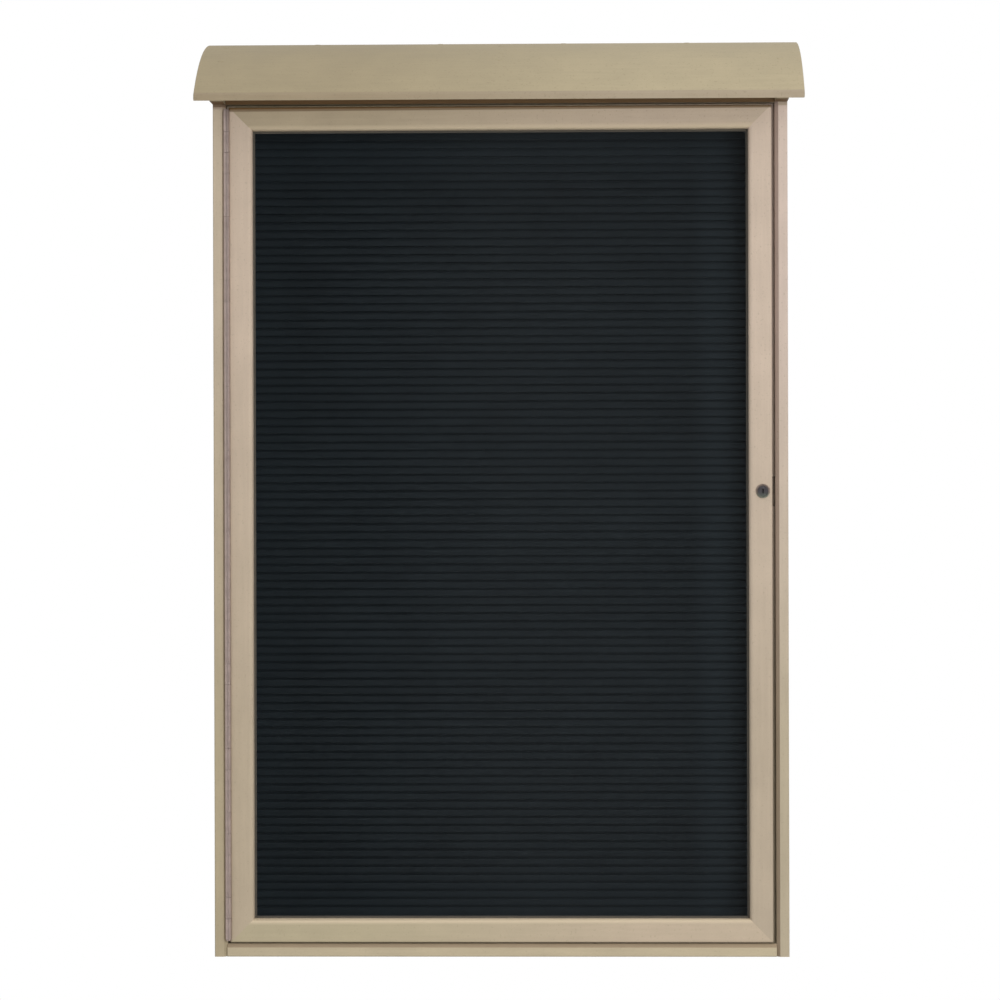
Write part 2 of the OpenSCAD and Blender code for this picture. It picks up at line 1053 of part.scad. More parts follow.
module door_bottom_rail() {
    color(SAND)
        difference() {
            intersection() {
                translate([0, 0, door_low])
                    mirror([0, 0, 1]) rail_bar();
                to_front(door_back_y + over, moulding_t + 2 * over)
                    bottom_rail_region();
            }
            at_retainer_screws() retainer_screw_room();
            at_corner_screws() board_screw_room();
        }
}

module door_corner_screws() {
    color(STEEL) at_corner_screws() board_screw();
}

// Pane

module glazing_panel() {
    x = open_x + pane_reach;
    low = open_low - pane_reach;
    top = open_top + pane_reach;
    color(CLEAR)
        translate([-x, pane_y, low])
            cube([2 * x, pane_t, top - low]);
}

module glazing_gasket() {
    outer = pane_reach;
    inner = -gasket_show;
    color(RUBBER)
        to_front(pane_y, gasket_t)
            difference() {
                opening_outline(outer);
                opening_outline(inner);
            }
}

// The pane's opening, grown by this much all round
module opening_outline(grow) {
    translate([-open_x - grow, open_low - grow])
        square([2 * (open_x + grow), open_top - open_low + 2 * grow]);
}

module retainer_screw_room() {
    screw_room(retainer_screw_len, small_screw_r, small_head_r, small_head_h);
}

// Side bars run between the end bars
module side_retainer() {
    low = door_low + retainer_outer + retainer_w + fit_gap;
    top = door_top - retainer_outer - retainer_w - fit_gap;
    difference() {
        translate([door_x - retainer_outer - retainer_w, door_back_y, low])
            cube([retainer_w, retainer_t, top - low]);
        at_retainer_screws() retainer_screw_room();
    }
}

module retainer_left() {
    color(STEEL) mirror([1, 0, 0]) side_retainer();
}

module retainer_right() {
    color(STEEL)
        difference() {
            side_retainer();
            translate([lock_x, retainer_back_y + over, lock_z])
                rotate([90, 0, 0])
                    cylinder(h = retainer_t + 2 * over, r = nut_r + nut_play);
        }
}

module end_retainer(low) {
    x = door_x - retainer_outer;
    color(STEEL)
        difference() {
            translate([-x, door_back_y, low])
                cube([2 * x, retainer_t, retainer_w]);
            at_retainer_screws() retainer_screw_room();
        }
}

module retainer_top() {
    end_retainer(door_top - retainer_outer - retainer_w);
}

module retainer_bottom() {
    end_retainer(door_low + retainer_outer);
}

module retainer_screws() {
    color(STEEL)
        at_retainer_screws()
            screw(retainer_screw_len, small_screw_r, small_head_r, small_head_h);
}

// Lock

// Places things on the lock's axis: local +Z points from y towards the wall
module on_lock(y) {
    translate([lock_x, y, lock_z])
        rotate([-90, 0, 0])
            children();
}

module lock_barrel() {
    color(STEEL)
        difference() {
            union() {
                on_lock(front_y - lock_head_t)
                    cylinder(h = lock_head_t, r = lock_head_r);
                on_lock(front_y)
                    cylinder(h = barrel_end_y - front_y, r = barrel_r);
            }
            on_lock(front_y - lock_head_t - over)
                cylinder(h = over + plug_head_t + turn_gap, r = plug_head_r + turn_gap);
            on_lock(front_y - lock_head_t)
                cylinder(h = case_d, r = plug_r + turn_gap);
        }
}

module lock_nut() {
    color(STEEL)
        difference() {
            on_lock(door_back_y)
                cylinder(h = nut_t, r = nut_r, $fn = 6);
            on_lock(door_back_y - over)
                cylinder(h = nut_t + 2 * over, r = barrel_r + turn_gap);
        }
}

module lock_plug() {
    color(STEEL)
        difference() {
            union() {
                on_lock(front_y - lock_head_t)
                    cylinder(h = plug_head_t, r = plug_head_r);
                on_lock(front_y - lock_head_t)
                    cylinder(h = cam_y - front_y + lock_head_t, r = plug_r);
                on_lock(cam_y)
                    translate([-tang / 2, -tang / 2, -over])
                        cube([tang, tang, cam_t - turn_gap + over]);
            }
            on_lock(front_y - lock_head_t)
                translate([-key_slot[0] / 2, -key_slot[1] / 2, -over])
                    cube([key_slot[0], key_slot[1], over + key_slot[2]]);
            on_lock(cam_back_y - cam_screw_len + fit_gap)
                cylinder(h = cam_screw_len + over, r = cam_screw_r + turn_gap);
        }
}

// Its tip is round about the lock's axis, so that it clears the strike all the way
module lock_cam() {
    color(STEEL)
        difference() {
            union() {
                on_lock(cam_y)
                    cylinder(h = cam_t, r = cam_w / 2);
                intersection() {
                    on_lock(cam_y)
                        cylinder(h = cam_t, r = cam_len);
                    translate([lock_x - cam_w / 2, cam_y, lock_z - cam_len])
                        cube([cam_w, cam_t, cam_len]);
                }
            }
            on_lock(cam_y)
                translate([-tang / 2 - turn_gap, -tang / 2 - turn_gap, -over])
                    cube([tang + 2 * turn_gap, tang + 2 * turn_gap, cam_t + 2 * over]);
        }
}

module lock_cam_screw() {
    color(STEEL)
        union() {
            on_lock(cam_back_y)
                cylinder(h = cam_screw_head_t, r = cam_screw_head_r, $fn = 6);
            on_lock(cam_back_y - cam_screw_len + 2 * fit_gap)
                cylinder(h = cam_screw_len, r = cam_screw_r);
        }
}

// A bent plate: one leg on the side board, one leg that the cam turns behind
module lock_strike() {
    color(STEEL)
        difference() {
            translate([0, 0, lock_z - strike_half_h])
                linear_extrude(2 * strike_half_h)
                    polygon([
                        [strike_edge_x, strike_y], [in_x, strike_y],
                        [in_x, strike_y + strike_leg_d], [strike_face_x, strike_y + strike_leg_d],
                        [strike_face_x, strike_y + strike_t], [strike_edge_x, strike_y + strike_t]
                    ]);
            at_strike_screws() small_screw_room();
        }
}

module strike_screws() {
    color(STEEL) at_strike_screws() small_screw();
}

left_side_board();
right_side_board();
top_board();
bottom_board();
back_panel();
case_screws();
back_panel_screws();
letter_board();
letter_board_screws();
stop_left();
stop_right();
stop_top();
stop_bottom();
stop_screws();
door_seal();
hood_shell();
hood_left_end();
hood_right_end();
hood_back_board();
hood_centre_rib();
hood_left_cleat();
hood_right_cleat();
hood_shell_screws();
hood_end_screws();
hood_cleat_screws();
hood_rib_screws();
hinge_case_leaf();
hinge_pin();
hinge_case_screws();
lock_strike();
strike_screws();
door_hinge_stile();
door_lock_stile();
door_top_rail();
door_bottom_rail();
door_corner_screws();
glazing_panel();
glazing_gasket();
retainer_left();
retainer_right();
retainer_top();
retainer_bottom();
retainer_screws();
hinge_door_leaf();
hinge_door_screws();
lock_barrel();
lock_nut();
lock_plug();
lock_cam();
lock_cam_screw();
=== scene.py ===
# %% [markdown]
# # An outdoor letter board
# The real object is a shallow case of sand-coloured plastic boards. A glazed door hangs in it on a
# long piano hinge, a curved sheet above keeps the rain off, and black grooves inside hold letters.
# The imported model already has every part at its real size, so this lesson gives each one its finish.
# Where a part needs softer edges or a finer shape than a construction model has, it gets a new mesh.

import json
import math

import bmesh
import bpy
from mathutils import Matrix, Vector


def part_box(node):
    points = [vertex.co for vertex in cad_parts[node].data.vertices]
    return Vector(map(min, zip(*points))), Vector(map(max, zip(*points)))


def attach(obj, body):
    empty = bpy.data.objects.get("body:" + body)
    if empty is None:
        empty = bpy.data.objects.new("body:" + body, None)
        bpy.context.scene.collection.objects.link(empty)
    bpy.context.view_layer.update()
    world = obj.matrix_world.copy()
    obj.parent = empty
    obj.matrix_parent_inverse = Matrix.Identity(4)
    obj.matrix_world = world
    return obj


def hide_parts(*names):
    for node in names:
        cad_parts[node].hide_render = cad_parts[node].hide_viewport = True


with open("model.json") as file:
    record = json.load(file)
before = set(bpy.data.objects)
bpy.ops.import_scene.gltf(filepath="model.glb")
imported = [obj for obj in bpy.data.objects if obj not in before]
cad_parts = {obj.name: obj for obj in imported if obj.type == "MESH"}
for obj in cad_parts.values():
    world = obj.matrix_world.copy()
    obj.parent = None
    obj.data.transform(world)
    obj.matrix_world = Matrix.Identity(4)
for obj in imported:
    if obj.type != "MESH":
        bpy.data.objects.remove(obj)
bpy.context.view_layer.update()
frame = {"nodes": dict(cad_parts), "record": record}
nodes = frame["nodes"]
SLOTS = {row["node"]: row["material_slot"] for row in frame["record"]["subparts"]}
BODIES = {node: body for body, names in frame["record"]["behaviour"]["bodies"].items() for node in names}
MM = 0.001

# %% [markdown]
# ## Shader maths that reads like maths
# A finish is mostly arithmetic on textures. Dragging Math nodes together is slow, and a long list of
# node calls is hard to read. This small class wraps one output socket, and each operator that is used
# on it adds the Math node. The reflected forms make `1 - mask` work as well as `mask - 1`.

# %% A socket that can be calculated with
class Wire:
    def __init__(self, graph, socket):
        self.graph = graph
        self.socket = socket

    def maths(self, operation, first, second):
        return self.graph.node("Math", {"operation": operation}, {0: first, 1: second})

    def __add__(self, other):
        return self.maths("ADD", self, other)

    def __sub__(self, other):
        return self.maths("SUBTRACT", self, other)

    def __rsub__(self, other):
        return self.maths("SUBTRACT", other, self)

    def __mul__(self, other):
        return self.maths("MULTIPLY", self, other)

    __radd__ = __add__
    __rmul__ = __mul__


print("Wire is ready")

# %% [markdown]
# Every other node comes from one method. It takes the node's type, the settings that have to be made
# before anything is plugged in, and the values or wires for its sockets. Colours can't go through a
# Math node, which would turn them grey, so they are mixed by a Mix node instead. The world's light is
# made of nodes too, so the method sits in a class that only knows a tree.

# %% A tree that is built one node at a time
class Graph:
    def __init__(self, tree):
        self.tree = tree

    def node(self, kind, settings=None, inputs=None, output=0):
        made = self.tree.nodes.new("ShaderNode" + kind)
        for name, value in (settings or {}).items():
            setattr(made, name, value)
        for socket, value in (inputs or {}).items():
            self.plug(made.inputs[socket], value)
        return Wire(self, made.outputs[output])

    def plug(self, socket, value):
        if isinstance(value, Wire):
            self.tree.links.new(value.socket, socket)
        else:
            socket.default_value = value

    def blend(self, low, high, factor):
        settings = {"data_type": "RGBA", "clamp_factor": True}
        return self.node("Mix", settings, {0: factor, 6: low, 7: high}, output=2)

    def noise(self, place, scale, detail=3.0, roughness=0.5):
        inputs = {"Vector": place, "Scale": scale, "Detail": detail, "Roughness": roughness}
        return self.node("TexNoise", inputs=inputs)

    def ramp(self, value, low, high):
        """The value, stretched so that low becomes 0 and high becomes 1."""
        inputs = {"Value": value, "From Min": low, "From Max": high}
        return self.node("MapRange", inputs=inputs)

    def along(self, place, axis):
        """One coordinate of a place."""
        return self.node("SeparateXYZ", inputs={"Vector": place}, output="xyz".index(axis))

    def looked_at(self):
        """1 for the rays of the camera, of mirrors and through glass, and 0 for the light on things."""
        rays = ("Is Camera Ray", "Is Glossy Ray", "Is Transmission Ray")
        return sum(self.node("LightPath", output=ray) for ray in rays)


print("Graph is ready")

# %% [markdown]
# A Finish is the tree of one material. It starts with the place of each point on its piece, so the
# pattern stays on the piece when the door swings. It can stretch that place, which draws a noise out
# into streaks, and it can turn a height into a relief.

# %% The tree of one material
class Finish(Graph):
    def __init__(self, name):
        self.material = bpy.data.materials.new(name)
        self.material.use_nodes = True
        super().__init__(self.material.node_tree)
        self.shader = self.tree.nodes["Principled BSDF"]
        self.place = self.node("TexCoord", output="Object")

    def stretched(self, place, scale):
        return self.node("Mapping", inputs={"Vector": place, "Scale": scale})

    def relief(self, height, strength, depth):
        return self.node("Bump", inputs={"Strength": strength, "Distance": depth, "Height": height})

    def surface(self, **values):
        for name, value in values.items():
            self.plug(self.shader.inputs[name.replace("_", " ")], value)
        return self.material


def shade(colour, amount):
    """A colour made lighter or darker, with its alpha."""
    return tuple(channel * amount for channel in colour) + (1.0,)


print("Finish is ready")

# %% [markdown]
# ## The plastic of the boards
# The boards are extruded from recycled plastic. Close up, the skin is pebbled and never quite even.
# The colour drifts a little over a hand's width, and the extruder leaves faint streaks along each
# board. One function makes this finish. It takes two colours and the direction in which the board
# runs, and blends from one colour to the other along the board; this is painted light, lighter towards
# the right and the top, where more light falls. A board can also have strips of another colour, which
# are painted shadow or painted highlight, each given by the height where it begins and the height where
# it is complete. The offset moves the noise, so that no two boards look alike.

# %% Plastic lumber
STREAKS = {"x": (0.05, 1.0, 1.0), "z": (1.0, 1.0, 0.05)}
MOTTLE_PER_M = 14.0
STREAK_PER_M = 210.0
PEBBLES_PER_M = 620.0
FLECKS_PER_M = 330.0
PAINTED_LIGHT_SPAN = {"x": 0.2, "z": 0.3}
DARKER, LIGHTER = 0.90, 1.10
FLECK_SHADE = 0.72
FLECK_COVER = 0.35
STRIP_TILT = 0.003
STRIP_COVER = 0.92


def plastic_lumber(name, ends, along, offset, strips=()):
    near, far = ends
    finish = Finish(name)
    shift = {"Vector": finish.place, "Location": (offset, 2 * offset, 3 * offset)}
    moved = finish.node("Mapping", inputs=shift)
    drawn = finish.stretched(moved, STREAKS[along])
    mottle = finish.ramp(finish.noise(moved, MOTTLE_PER_M, 5.0, 0.6), 0.3, 0.7)
    streak = finish.ramp(finish.noise(drawn, STREAK_PER_M, 3.0, 0.6), 0.3, 0.7)
    pebble = finish.noise(moved, PEBBLES_PER_M, 3.0, 0.55)
    fleck = finish.ramp(finish.noise(moved, FLECKS_PER_M, 1.0), 0.64, 0.72)
    depth = mottle * 0.5 + streak * 0.3 + pebble * 0.2
    # Painted light: the colour blends from one end's colour to the other's along the board.
    end = finish.ramp(finish.along(finish.place, along), -PAINTED_LIGHT_SPAN[along], PAINTED_LIGHT_SPAN[along])
    dark = finish.blend(shade(near, DARKER), shade(far, DARKER), end)
    light = finish.blend(shade(near, LIGHTER), shade(far, LIGHTER), end)
    base = finish.blend(dark, light, depth)
    base = finish.blend(base, shade(near, FLECK_SHADE), fleck * FLECK_COVER)
    # Each strip paints a shadow or a highlight over the board's colour.
    for begins, complete, colour in strips:
        level = finish.along(finish.place, "z") - finish.along(finish.place, "x") * STRIP_TILT
        cover = finish.ramp(level, begins * MM, complete * MM) * STRIP_COVER
        base = finish.blend(base, shade(colour, 1.0), cover)
    skin = finish.relief(pebble * 0.6 + streak * 0.4, 0.35, 0.35 * MM)
    dull = 0.58 + mottle * 0.1 + streak * 0.06
    return finish.surface(Base_Color=base, Roughness=dull, Normal=skin, Specular_IOR_Level=0.2)


print("plastic_lumber makes one board's finish")

# %% [markdown]
# ## Boards with softened edges
# A construction model has knife-sharp edges. Nothing real has, and a sharp edge catches no light, so it
# gives a picture away at once. Each visible board is copied, its flat areas are merged again, and its
# long edges get a small bevel. Edges round the screw holes keep their exact fit: their faces are tiny,
# so the face area tells them apart. The mitred corners of the door are glued and sanded flush, so the
# edges there stay sharp too. Weighted normals then keep the large faces flat to the eye.

# %% Helpers for shaped pieces
SMOOTH_BELOW = math.radians(35)
SHARP_ABOVE = math.radians(40)
FLAT_WITHIN = math.radians(0.5)
WELD = 0.002 * MM


def piece_from(name, build):
    mesh = bpy.data.meshes.new(name)
    build.to_mesh(mesh)
    build.free()
    mesh.shade_smooth()
    mesh.set_sharp_from_angle(angle=SMOOTH_BELOW)
    piece = bpy.data.objects.new(name, mesh)
    bpy.context.scene.collection.objects.link(piece)
    return piece


def stands_for(piece, node, material):
    """Gives the piece its material and puts it in the place of a CAD node."""
    piece.data.materials.clear()
    piece.data.materials.append(material)
    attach(piece, BODIES[node])
    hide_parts(node)
    return piece


def keeps_shape(node, material):
    """Gives a CAD node a better material and leaves its mesh as it is."""
    for slot in nodes[node].material_slots:
        slot.material = material


def is_mitre(face):
    """True for the slanted end of a bar that meets another in a frame's corner."""
    return min(abs(face.normal.x), abs(face.normal.z)) > 0.5


def welded(node):
    """The mesh of a CAD node, with its faces joined where they meet."""
    build = bmesh.new()
    build.from_mesh(nodes[node].data)
    bmesh.ops.remove_doubles(build, verts=build.verts, dist=WELD)
    return build


def round_off(build, edges, width, segments):
    bmesh.ops.bevel(
        build, geom=edges, offset=width, offset_type="OFFSET", segments=segments, profile=0.5,
        affect="EDGES", clamp_overlap=True
    )


def keep_flat(piece):
    """Shades the large faces flat, up to their rounded edges."""
    piece.modifiers.new("Flat faces", "WEIGHTED_NORMAL").keep_sharp = True
    return piece


def eased(node, width, least_mm2=50.0):
    """A copy of a CAD node with soft edges, where the faces are larger than least_mm2."""
    build = welded(node)
    bmesh.ops.dissolve_limit(build, angle_limit=FLAT_WITHIN, verts=build.verts, edges=build.edges)
    edges = [
        edge for edge in build.edges
        if edge.is_manifold
        and edge.calc_face_angle() > SHARP_ABOVE
        and min(face.calc_area() for face in edge.link_faces) > least_mm2 * MM * MM
        and not any(is_mitre(face) for face in edge.link_faces)
    ]
    round_off(build, edges, width, segments=2)
    return keep_flat(piece_from(node + "_eased", build))


print("edges up to", round(math.degrees(SMOOTH_BELOW)), "degrees are shaded smooth")

# %% [markdown]
# ## Which board has which colour
# The photograph shows that the boards differ: the door's stiles are a little pink, the hood is more
# olive, and the two sides of the case aren't the same. The first table gives each group its colour at
# the left or lower end and at the right or upper end; the lighter right and upper ends are painted light.
# The second names each board's group and the direction in which it was extruded. The parts inside share
# the colour of the case. The tops of the door and the side boards, under the hood, get brown strips of
# painted shadow from the hood, and the rails get pale strips of painted highlight along the window.

# %% Colours of the boards
SAND = {
    "hood": ((0.362, 0.304, 0.200), (0.442, 0.378, 0.256)),
    "hood lip": ((0.331, 0.269, 0.185), (0.382, 0.317, 0.236)),
    # A dark brown of painted shade, for faces right under the hood.
    "painted shade under hood": ((0.165, 0.098, 0.047), (0.165, 0.102, 0.052)),
    "left jamb": ((0.415, 0.352, 0.243), (0.490, 0.412, 0.318)),
    "right jamb": ((0.423, 0.363, 0.268), (0.572, 0.470, 0.412)),
    "left stile": ((0.451, 0.376, 0.283), (0.530, 0.433, 0.352)),
    "right stile": ((0.437, 0.364, 0.282), (0.546, 0.447, 0.370)),
    "top rail": ((0.391, 0.324, 0.231), (0.456, 0.373, 0.294)),
    "bottom rail": ((0.437, 0.379, 0.264), (0.485, 0.400, 0.306)),
    "sill": ((0.475, 0.406, 0.288), (0.475, 0.406, 0.288)),
}
BOARDS = {
    "left_side_board": ("left jamb", "z"), "right_side_board": ("right jamb", "z"),
    "top_board": ("left jamb", "x"), "bottom_board": ("sill", "x"), "back_panel": ("left jamb", "z"),
    "stop_left": ("left jamb", "z"), "stop_right": ("right jamb", "z"),
    "stop_top": ("left jamb", "x"), "stop_bottom": ("sill", "x"),
    "hood_left_end": ("hood", "z"), "hood_right_end": ("hood", "z"),
    "hood_back_board": ("hood", "x"), "hood_centre_rib": ("hood", "z"),
    "hood_left_cleat": ("hood", "x"), "hood_right_cleat": ("hood", "x"),
    "door_hinge_stile": ("left stile", "z"), "door_lock_stile": ("right stile", "z"),
    "door_top_rail": ("top rail", "x"), "door_bottom_rail": ("bottom rail", "x"),
}
# Painted shadow of the hood along the top of the door, with a darker core on its rounded edge.
DOOR_TOP_HOOD_SHADOW = [(584.6, 585.8, (0.195, 0.138, 0.086)), (587.9, 588.6, (0.146, 0.083, 0.034))]
STRIPS = {
    "door_hinge_stile": DOOR_TOP_HOOD_SHADOW,
    "door_lock_stile": DOOR_TOP_HOOD_SHADOW,
    # The pale strips on the two rails are painted highlight along the window.
    "door_top_rail": DOOR_TOP_HOOD_SHADOW + [(566.0, 558.5, (0.560, 0.462, 0.335))],
    "door_bottom_rail": [(-567.0, -562.0, (0.575, 0.480, 0.350))],
    # Painted shadow of the hood along the tops of the side boards.
    "left_side_board": [(588.6, 589.2, (0.376, 0.296, 0.231)), (591.4, 592.0, (0.171, 0.118, 0.076))],
    "right_side_board": [(587.8, 588.4, (0.413, 0.337, 0.261))],
}
EDGE_WEAR = 0.5 * MM
BOARD_OFFSET = 1.7

for number, (node, (group, along)) in enumerate(BOARDS.items()):
    strips = STRIPS.get(node, ())
    lumber = plastic_lumber(node + "_plastic", SAND[group], along, BOARD_OFFSET * number, strips)
    board = stands_for(eased(node, EDGE_WEAR), node, lumber)
    print(node, len(board.data.polygons), "faces")

# %% [markdown]
# Some narrow faces look different from the rest of their board, so they get a second finish. The bevels
# beside the lock and above the sill are darkened with painted shade of the narrow gaps there. Right
# under the hood, the top board's front and the undersides of the hood's ends get a dark brown of painted
# shade. Where a face looks and where it lies tell which faces are meant.

# %% Painted shade on the bevels and under the hood
# Painted shade in the bevels beside the lock and above the sill.
BEVEL_SHADE = (0.70, 0.64, 0.63)
FACING = 0.6
HEAD_ON = 0.8
NEAR_THE_FRONT = -120 * MM
HOOD_ENDS_FOOT = 600 * MM


def finish_some(node, material, chosen):
    """Gives some faces of a board a second finish."""
    mesh = bpy.data.objects[node + "_eased"].data
    mesh.materials.append(material)
    faces = [face for face in mesh.polygons if chosen(face)]
    for face in faces:
        face.material_index = 1
    print(node, len(faces), "faces with another finish")


def in_bevel(face):
    """True for a face that slants to the front and towards the middle of the case."""
    inwards = face.normal.x * face.center.x + face.normal.z * face.center.z < 0
    return inwards and -HEAD_ON < face.normal.y < -FACING


def over_the_door(face):
    return face.normal.y < -FACING and face.center.y < NEAR_THE_FRONT


def looks_down(face):
    return face.normal.z < -FACING and face.center.z < HOOD_ENDS_FOOT


for node in ("right_side_board", "bottom_board"):
    group, along = BOARDS[node]
    ends = [tuple(c * darkening for c, darkening in zip(end, BEVEL_SHADE)) for end in SAND[group]]
    finish_some(node, plastic_lumber(node + "_bevel_shade_plastic", ends, along, offset=60.0), in_bevel)
# Painted shade on the faces right under the hood.
under_hood_shade = plastic_lumber("under_hood_shade_plastic", SAND["painted shade under hood"], "x", offset=61.0)
finish_some("top_board", under_hood_shade, over_the_door)
finish_some("hood_left_end", under_hood_shade, looks_down)
finish_some("hood_right_end", under_hood_shade, looks_down)

# %% [markdown]
# ## The hood's curved sheet
# The rain hood is one sheet bent to a steady curve, with a straight lip in front. Its outline is two
# arcs about one middle, so the middle is worked out from the sheet's box and radius. Forty-eight
# steps make an arc that shows no corners, and the ends get a wider rounding than the boards, as a cut
# sheet has when its edges are flamed smooth. The lip's lower edge is rounder still, and the sawn face
# of the lip is darker and pinker than the moulded skin, so it gets a finish of its own.

# %% Bend the hood sheet
HOOD_RADIUS = 300 * MM
SHEET_THICKNESS = 6 * MM
LIP_HEIGHT = 9.1 * MM
LIP_ROUNDING = 2.2 * MM
ARC_STEPS = 48
SHEET_EDGE = 1.0 * MM
DRAWN_IN_STEPS = math.radians(30)
NEAR = 0.01 * MM

hood_low, hood_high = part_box("hood_shell")
lip_y = hood_low.y
lip_top = hood_low.z + LIP_HEIGHT
chord = Vector((-lip_y, hood_high.z - lip_top))
rise = math.sqrt(HOOD_RADIUS ** 2 - chord.length_squared / 4)
middle_y = lip_y / 2 + rise * chord.y / chord.length
middle_z = (hood_high.z + lip_top) / 2 - rise * chord.x / chord.length


def hood_arc(radius, first_y, last_y):
    """Points on an arc about the hood's middle, from one depth to another."""
    first = math.asin((middle_y - first_y) / radius)
    last = math.asin((middle_y - last_y) / radius)
    leans = [first + (last - first) * step / ARC_STEPS for step in range(ARC_STEPS + 1)]
    return [(middle_y - radius * math.sin(a), middle_z + radius * math.cos(a)) for a in leans]


def extruded(build, outline, axis, low, high):
    """Adds a closed bar: an outline in the other two axes, drawn from low to high."""
    rings = []
    for end in (low, high):
        points = [(end, a, b) if axis == "x" else (a, b, end) for a, b in outline]
        rings.append([build.verts.new(point) for point in points])
    count = len(outline)
    for i in range(count):
        j = (i + 1) % count
        build.faces.new((rings[0][i], rings[0][j], rings[1][j], rings[1][i]))
    build.faces.new(rings[0])
    build.faces.new(reversed(rings[1]))
    bmesh.ops.recalc_face_normals(build, faces=build.faces)


build = bmesh.new()
outer = hood_arc(HOOD_RADIUS, 0, lip_y)
inner = hood_arc(HOOD_RADIUS - SHEET_THICKNESS, lip_y, 0)
extruded(build, outer + inner, "x", hood_low.x, hood_high.x)
lip_edges = [
    edge for edge in build.edges
    if all(abs(v.co.y - lip_y) < NEAR and abs(v.co.z - hood_low.z) < NEAR for v in edge.verts)
]
round_off(build, lip_edges, LIP_ROUNDING, segments=5)
corners = [edge for edge in build.edges if edge.calc_face_angle(0) > DRAWN_IN_STEPS]
round_off(build, corners, SHEET_EDGE, segments=3)
hood_sheet = keep_flat(piece_from("hood_sheet", build))
sheet_plastic = plastic_lumber("hood_sheet_plastic", SAND["hood"], "x", offset=40.0)
stands_for(hood_sheet, "hood_shell", sheet_plastic)
hood_sheet.data.materials.append(plastic_lumber("hood_lip_plastic", SAND["hood lip"], "x", offset=41.0))
for face in hood_sheet.data.polygons:
    if face.center.y < lip_y + LIP_ROUNDING and face.normal.y < -FACING:
        face.material_index = 1
print("hood sheet:", len(hood_sheet.data.polygons), "faces")
print("its curve's middle at", round(middle_y, 4), round(middle_z, 4))

# %% [markdown]
# The photograph shows no screws on the hood, so each one is hidden by a plug of the same plastic. A
# plug is a shallow cap that stands half a millimetre above the sheet. Each cap is lathed, then turned
# square to the curved sheet at its screw's place.

# %% Plug the hood's screw holes
def lathe(build, profile, steps, matrix):
    """Adds a turned shape: (radius, height) points swung round the Z axis, then put in place."""
    rings = []
    for radius, height in profile:
        if radius == 0:
            rings.append([build.verts.new((0, 0, height))])
            continue
        angles = [2 * math.pi * step / steps for step in range(steps)]
        points = [(radius * math.cos(a), radius * math.sin(a), height) for a in angles]
        rings.append([build.verts.new(point) for point in points])
    for low, high in zip(rings, rings[1:]):
        for i in range(steps):
            j = (i + 1) % steps
            corners = [low[i % len(low)], low[j % len(low)], high[j % len(high)], high[i % len(high)]]
            build.faces.new(list(dict.fromkeys(corners)))
    added = [vert for ring in rings for vert in ring]
    bmesh.ops.transform(build, matrix=matrix, verts=added)


CAP_PROFILE = [(r * MM, z * MM) for r, z in ((4.4, -0.6), (4.4, 0.1), (4.2, 0.3), (3.4, 0.42), (0, 0.5))]
SCREW_LENGTH = 30 * MM
END_SCREWS_Y = (-38 * MM, -102 * MM)
BACK_SCREWS_X = (-268.5 * MM, -89.5 * MM, 89.5 * MM, 268.5 * MM)

end_low, end_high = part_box("hood_right_end")
end_x = (end_low.x + end_high.x) / 2
back_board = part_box("hood_back_board")[0].y
cap_rows = {y: (-end_x, 0, end_x) for y in END_SCREWS_Y}
cap_rows[(back_board - SCREW_LENGTH * middle_y / HOOD_RADIUS) / 2] = BACK_SCREWS_X

build = bmesh.new()
for y, row in cap_rows.items():
    lean = math.asin((middle_y - y) / HOOD_RADIUS)
    for x in row:
        seat = Vector((x, y, middle_z + HOOD_RADIUS * math.cos(lean)))
        square = Matrix.Translation(seat) @ Matrix.Rotation(lean, 4, "X")
        lathe(build, CAP_PROFILE, steps=40, matrix=square)
caps = stands_for(
    piece_from("hood_screw_caps", build), "hood_shell_screws",
    plastic_lumber("cap_plastic", SAND["hood"], "x", offset=44.0)
)
print(sum(len(row) for row in cap_rows.values()), "caps,", len(caps.data.polygons), "faces")

# %% [markdown]
# ## The grooved letter panel
# Letters with tabs push into the level grooves of the black panel. In a moulded panel the ridge
# between two grooves has rounded shoulders, and it is these that catch the light as fine stripes. A
# texture could fake the stripes, but from the side the grooves have to be real. So the panel is one
# outline with rounded shoulders, drawn across its full width.

# %% Draw the grooves
GROOVE_PITCH = 11.8 * MM
GROOVE_WIDTH = 2.6 * MM
GROOVE_DEPTH = 5 * MM
SHOULDER = 1.1 * MM
SHOULDER_STEPS = 4

panel_low, panel_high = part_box("letter_board")
panel_height = panel_high.z - panel_low.z
groove_count = int(panel_height / GROOVE_PITCH) - 1
margin = (panel_height - (groove_count - 1) * GROOVE_PITCH) / 2


def groove(z):
    """One groove from its lower shoulder to its upper one."""
    turns = [math.pi / 2 * step / SHOULDER_STEPS for step in range(SHOULDER_STEPS + 1)]
    half = GROOVE_WIDTH / 2
    depths = [SHOULDER * (1 - math.cos(turn)) for turn in turns]
    spans = [half + SHOULDER * (1 - math.sin(turn)) for turn in turns]
    lower = [(panel_low.y + d, z - s) for d, s in zip(depths, spans)]
    upper = [(panel_low.y + d, z + s) for d, s in zip(reversed(depths), reversed(spans))]
    bottom = [(panel_low.y + GROOVE_DEPTH, z - half), (panel_low.y + GROOVE_DEPTH, z + half)]
    return lower + bottom + upper


outline = [(panel_high.y, panel_high.z), (panel_high.y, panel_low.z), (panel_low.y, panel_low.z)]
for i in range(groove_count):
    outline += groove(panel_low.z + margin + i * GROOVE_PITCH)
outline.append((panel_low.y, panel_high.z))

build = bmesh.new()
extruded(build, outline, "x", panel_low.x, panel_high.x)
panel = piece_from("grooved_panel", build)
print(groove_count, "grooves,", len(panel.data.polygons), "faces")

